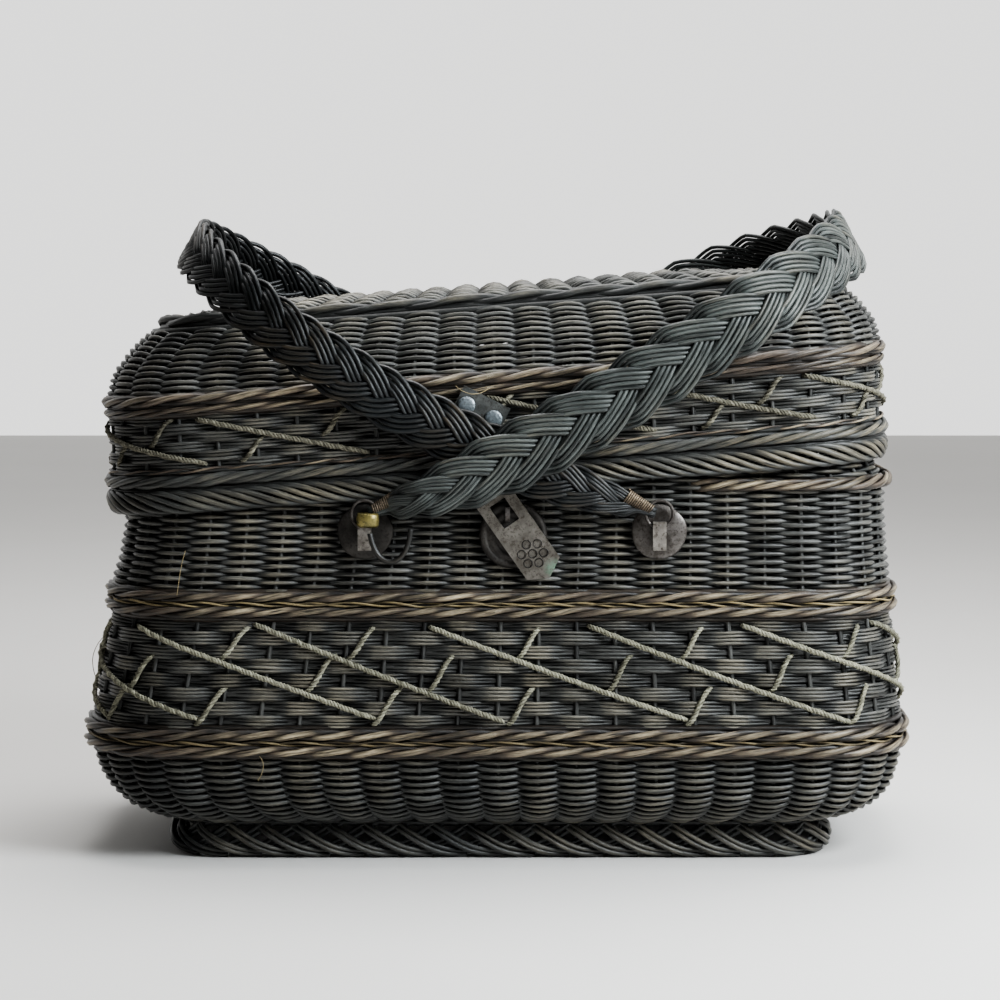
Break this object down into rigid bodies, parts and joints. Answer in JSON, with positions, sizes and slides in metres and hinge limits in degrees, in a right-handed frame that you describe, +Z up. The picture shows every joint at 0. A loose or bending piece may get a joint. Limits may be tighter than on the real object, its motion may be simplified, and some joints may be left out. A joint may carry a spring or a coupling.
{
  "type": "market basket",
  "caption": "Dark woven cane basket with a rounded rectangular body, a domed overhanging lid, a plaited foot, crossing plaited handles on wire rings and a metal hasp.",
  "frame": {"origin": "on the surface it stands on, under the middle of the whole basket with its handles", "axes": "+X along the basket to the viewer's right, -Y towards the hasp at the front, +Z up"},
  "size_m": [0.3812, 0.1994, 0.2955],
  "materials": {
    "woven_cane": "blackened, dry, worn at the crests",
    "twisted_rods": "brown, dry, worn",
    "plaited_cane": "blackened, smooth from handling",
    "old_iron": "dull, tarnished, lightly rusted"
  },
  "bodies": {
    "basket": {"foot_ring": "woven_cane", "body_bowl_front": "woven_cane", "body_bowl_back": "woven_cane", "body_base_front": "woven_cane", "body_base_back": "woven_cane", "body_band_front": "woven_cane", "body_band_back": "woven_cane", "body_upper_front": "woven_cane", "body_upper_back": "woven_cane", "body_rim_front": "woven_cane", "body_rim_back": "woven_cane", "lid_band_front": "woven_cane", "lid_band_back": "woven_cane", "lid_dome_front": "woven_cane", "lid_dome_back": "woven_cane", "lid_top_front": "woven_cane", "lid_top_back": "woven_cane", "body_lower_wale": "twisted_rods", "body_upper_wale": "twisted_rods", "body_rim_wale": "twisted_rods", "lid_border": "twisted_rods", "lid_wale": "twisted_rods", "lid_ridge_wale": "twisted_rods", "disc_left_front": "old_iron", "disc_left_back": "old_iron", "disc_right_front": "old_iron", "disc_right_back": "old_iron", "staple_left_front": "old_iron", "staple_left_back": "old_iron", "staple_right_front": "old_iron", "staple_right_back": "old_iron", "escutcheon": "old_iron", "hasp_eye": "old_iron", "hasp_leaf": "old_iron", "hasp_rivet_left": "old_iron", "hasp_rivet_right": "old_iron", "hasp_tongue": "old_iron", "lid_hinge": "old_iron"},
    "right_handle": {"handle_right": "plaited_cane", "ring_left_front": "old_iron", "ring_left_back": "old_iron"},
    "left_handle": {"handle_left": "plaited_cane", "ring_right_front": "old_iron", "ring_right_back": "old_iron"}
  },
  "joints": [
    {"name": "right_handle_swing", "type": "hinge", "parent": "basket", "child": "right_handle", "pos_m": [-0.0585, 0, 0.1582], "axis": [0, -1, 0], "range_deg": [0, 61]},
    {"name": "left_handle_swing", "type": "hinge", "parent": "basket", "child": "left_handle", "pos_m": [0.0724, 0, 0.1582], "axis": [0, 1, 0], "range_deg": [0, 61]}
  ]
}
